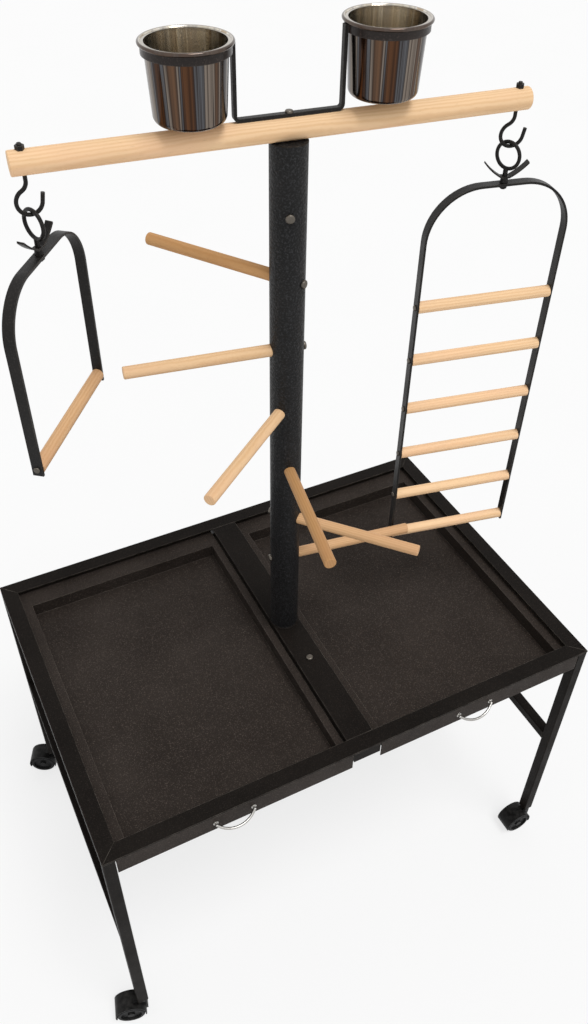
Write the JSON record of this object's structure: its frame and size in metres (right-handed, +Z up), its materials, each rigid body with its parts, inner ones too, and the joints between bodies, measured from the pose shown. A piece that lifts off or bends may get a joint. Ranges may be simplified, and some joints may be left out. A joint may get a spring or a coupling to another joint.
{
  "type": "parrot play stand",
  "caption": "Free-standing parrot play stand on twin-wheel casters: post with wooden perches, hanging swing and ladder, steel food cups and slide-out litter trays in a dark steel table frame.",
  "frame": {"origin": "on the floor under the middle of the whole stand's bounding box", "axes": "+Z up along the post; X along the table's long side, +X toward the ladder; trays pull out toward -Y"},
  "size_m": [0.8542, 0.5928, 1.437],
  "materials": {
    "frame_paint": "textured black powder coat, slightly brown, satin",
    "hammertone_paint": "black hammertone powder coat, silvery flecks",
    "tray_paint": "smooth dark brown-black powder coat, satin",
    "screw_steel": "plated steel, slightly dull",
    "wood": "light beech, sanded, fine straight grain along each perch",
    "black_iron": "black powder coat with small worn bright flecks",
    "cup_steel": "mirror polished stainless steel",
    "pull_chrome": "chromed wire",
    "caster_plastic": "black moulded plastic, semi gloss",
    "wheel_plastic": "black moulded plastic tread",
    "stem_steel": "zinc plated steel"
  },
  "bodies": {
    "stand": {"front_rail": "frame_paint", "rear_rail": "frame_paint", "side_rail_left": "frame_paint", "side_rail_right": "frame_paint", "leg_front_left": "frame_paint", "leg_front_right": "frame_paint", "leg_rear_left": "frame_paint", "leg_rear_right": "frame_paint", "side_stretcher_left": "frame_paint", "side_stretcher_right": "frame_paint", "centre_beam": "frame_paint", "tray_runners_left": "frame_paint", "tray_runners_right": "frame_paint", "post_tube": "hammertone_paint", "post_cap_sleeve": "hammertone_paint", "pan_head_bolts": "screw_steel", "main_perch": "wood", "perch_1": "wood", "perch_2": "wood", "perch_3": "wood", "perch_4": "wood", "perch_5": "wood", "perch_6": "wood", "cup_bracket": "black_iron", "cup_ring_left": "black_iron", "cup_ring_right": "black_iron", "bracket_bolt": "screw_steel", "hook_left": "black_iron", "hook_right": "black_iron", "hook_nuts": "black_iron", "caster_stems": "stem_steel"},
    "tray_left": {"tray_left": "tray_paint", "tray_pull_left": "pull_chrome"},
    "tray_right": {"tray_right": "tray_paint", "tray_pull_right": "pull_chrome"},
    "cup_left": {"cup_left": "cup_steel"},
    "cup_right": {"cup_right": "cup_steel"},
    "swing_hanger": {"swing_eye_bolt": "black_iron", "swing_wing_nut": "black_iron", "swing_lock_nut": "black_iron"},
    "swing": {"swing_bow": "black_iron", "swing_dowel": "wood", "swing_screws": "screw_steel"},
    "ladder_hanger": {"ladder_eye_bolt": "black_iron", "ladder_wing_nut": "black_iron", "ladder_lock_nut": "black_iron"},
    "ladder": {"ladder_frame": "black_iron", "ladder_rungs": "wood", "ladder_screws": "screw_steel"},
    "caster_front_left": {"caster_housing_front_left": "caster_plastic"},
    "wheels_front_left": {"caster_wheels_front_left": "wheel_plastic"},
    "caster_front_right": {"caster_housing_front_right": "caster_plastic"},
    "wheels_front_right": {"caster_wheels_front_right": "wheel_plastic"},
    "caster_rear_left": {"caster_housing_rear_left": "caster_plastic"},
    "wheels_rear_left": {"caster_wheels_rear_left": "wheel_plastic"},
    "caster_rear_right": {"caster_housing_rear_right": "caster_plastic"},
    "wheels_rear_right": {"caster_wheels_rear_right": "wheel_plastic"}
  },
  "joints": [
    {"name": "tray_left_slide", "type": "slide", "parent": "stand", "child": "tray_left", "axis": [0, -1, 0], "range_m": [0, 0.4]},
    {"name": "tray_right_slide", "type": "slide", "parent": "stand", "child": "tray_right", "axis": [0, -1, 0], "range_m": [0, 0.4]},
    {"name": "cup_left_lift", "type": "slide", "parent": "stand", "child": "cup_left", "axis": [0, 0, 1], "range_m": [0, 0.11]},
    {"name": "cup_right_lift", "type": "slide", "parent": "stand", "child": "cup_right", "axis": [0, 0, 1], "range_m": [0, 0.11]},
    {"name": "swing_rock", "type": "hinge", "parent": "stand", "child": "swing_hanger", "pos_m": [-0.26234, 0.02607, 1.2809], "axis": [1, 0, 0], "range_deg": [-25, 25]},
    {"name": "swing_turn", "type": "hinge", "parent": "swing_hanger", "child": "swing", "pos_m": [-0.26234, 0.02607, 1.237], "axis": [0, 0, 1], "range_deg": [-35, 110]},
    {"name": "ladder_rock", "type": "hinge", "parent": "stand", "child": "ladder_hanger", "pos_m": [0.29857, -0.03289, 1.2809], "axis": [0.9397, -0.342, 0], "range_deg": [0, 25]},
    {"name": "ladder_turn", "type": "hinge", "parent": "ladder_hanger", "child": "ladder", "pos_m": [0.29857, -0.03289, 1.237], "axis": [0, 0, 1], "range_deg": [-90, 0]},
    {"name": "swivel_front_left", "type": "hinge", "parent": "stand", "child": "caster_front_left", "pos_m": [-0.37688, -0.27141, 0.04], "axis": [0, 0, 1], "continuous": true},
    {"name": "roll_front_left", "type": "hinge", "parent": "caster_front_left", "child": "wheels_front_left", "pos_m": [-0.39753, -0.26576, 0.0238], "axis": [0.2639, 0.9646, 0], "continuous": true},
    {"name": "swivel_front_right", "type": "hinge", "parent": "stand", "child": "caster_front_right", "pos_m": [0.41812, -0.27141, 0.04], "axis": [0, 0, 1], "continuous": true},
    {"name": "roll_front_right", "type": "hinge", "parent": "caster_front_right", "child": "wheels_front_right", "pos_m": [0.39672, -0.27141, 0.0238], "axis": [0, 1, 0], "continuous": true},
    {"name": "swivel_rear_left", "type": "hinge", "parent": "stand", "child": "caster_rear_left", "pos_m": [-0.37688, 0.26159, 0.04], "axis": [0, 0, 1], "continuous": true},
    {"name": "roll_rear_left", "type": "hinge", "parent": "caster_rear_left", "child": "wheels_rear_left", "pos_m": [-0.39623, 0.27074, 0.0238], "axis": [0.4274, 0.9041, 0], "continuous": true},
    {"name": "swivel_rear_right", "type": "hinge", "parent": "stand", "child": "caster_rear_right", "pos_m": [0.41812, 0.26159, 0.04], "axis": [0, 0, 1], "continuous": true},
    {"name": "roll_rear_right", "type": "hinge", "parent": "caster_rear_right", "child": "wheels_rear_right", "pos_m": [0.39672, 0.26159, 0.0238], "axis": [0, 1, 0], "continuous": true}
  ]
}
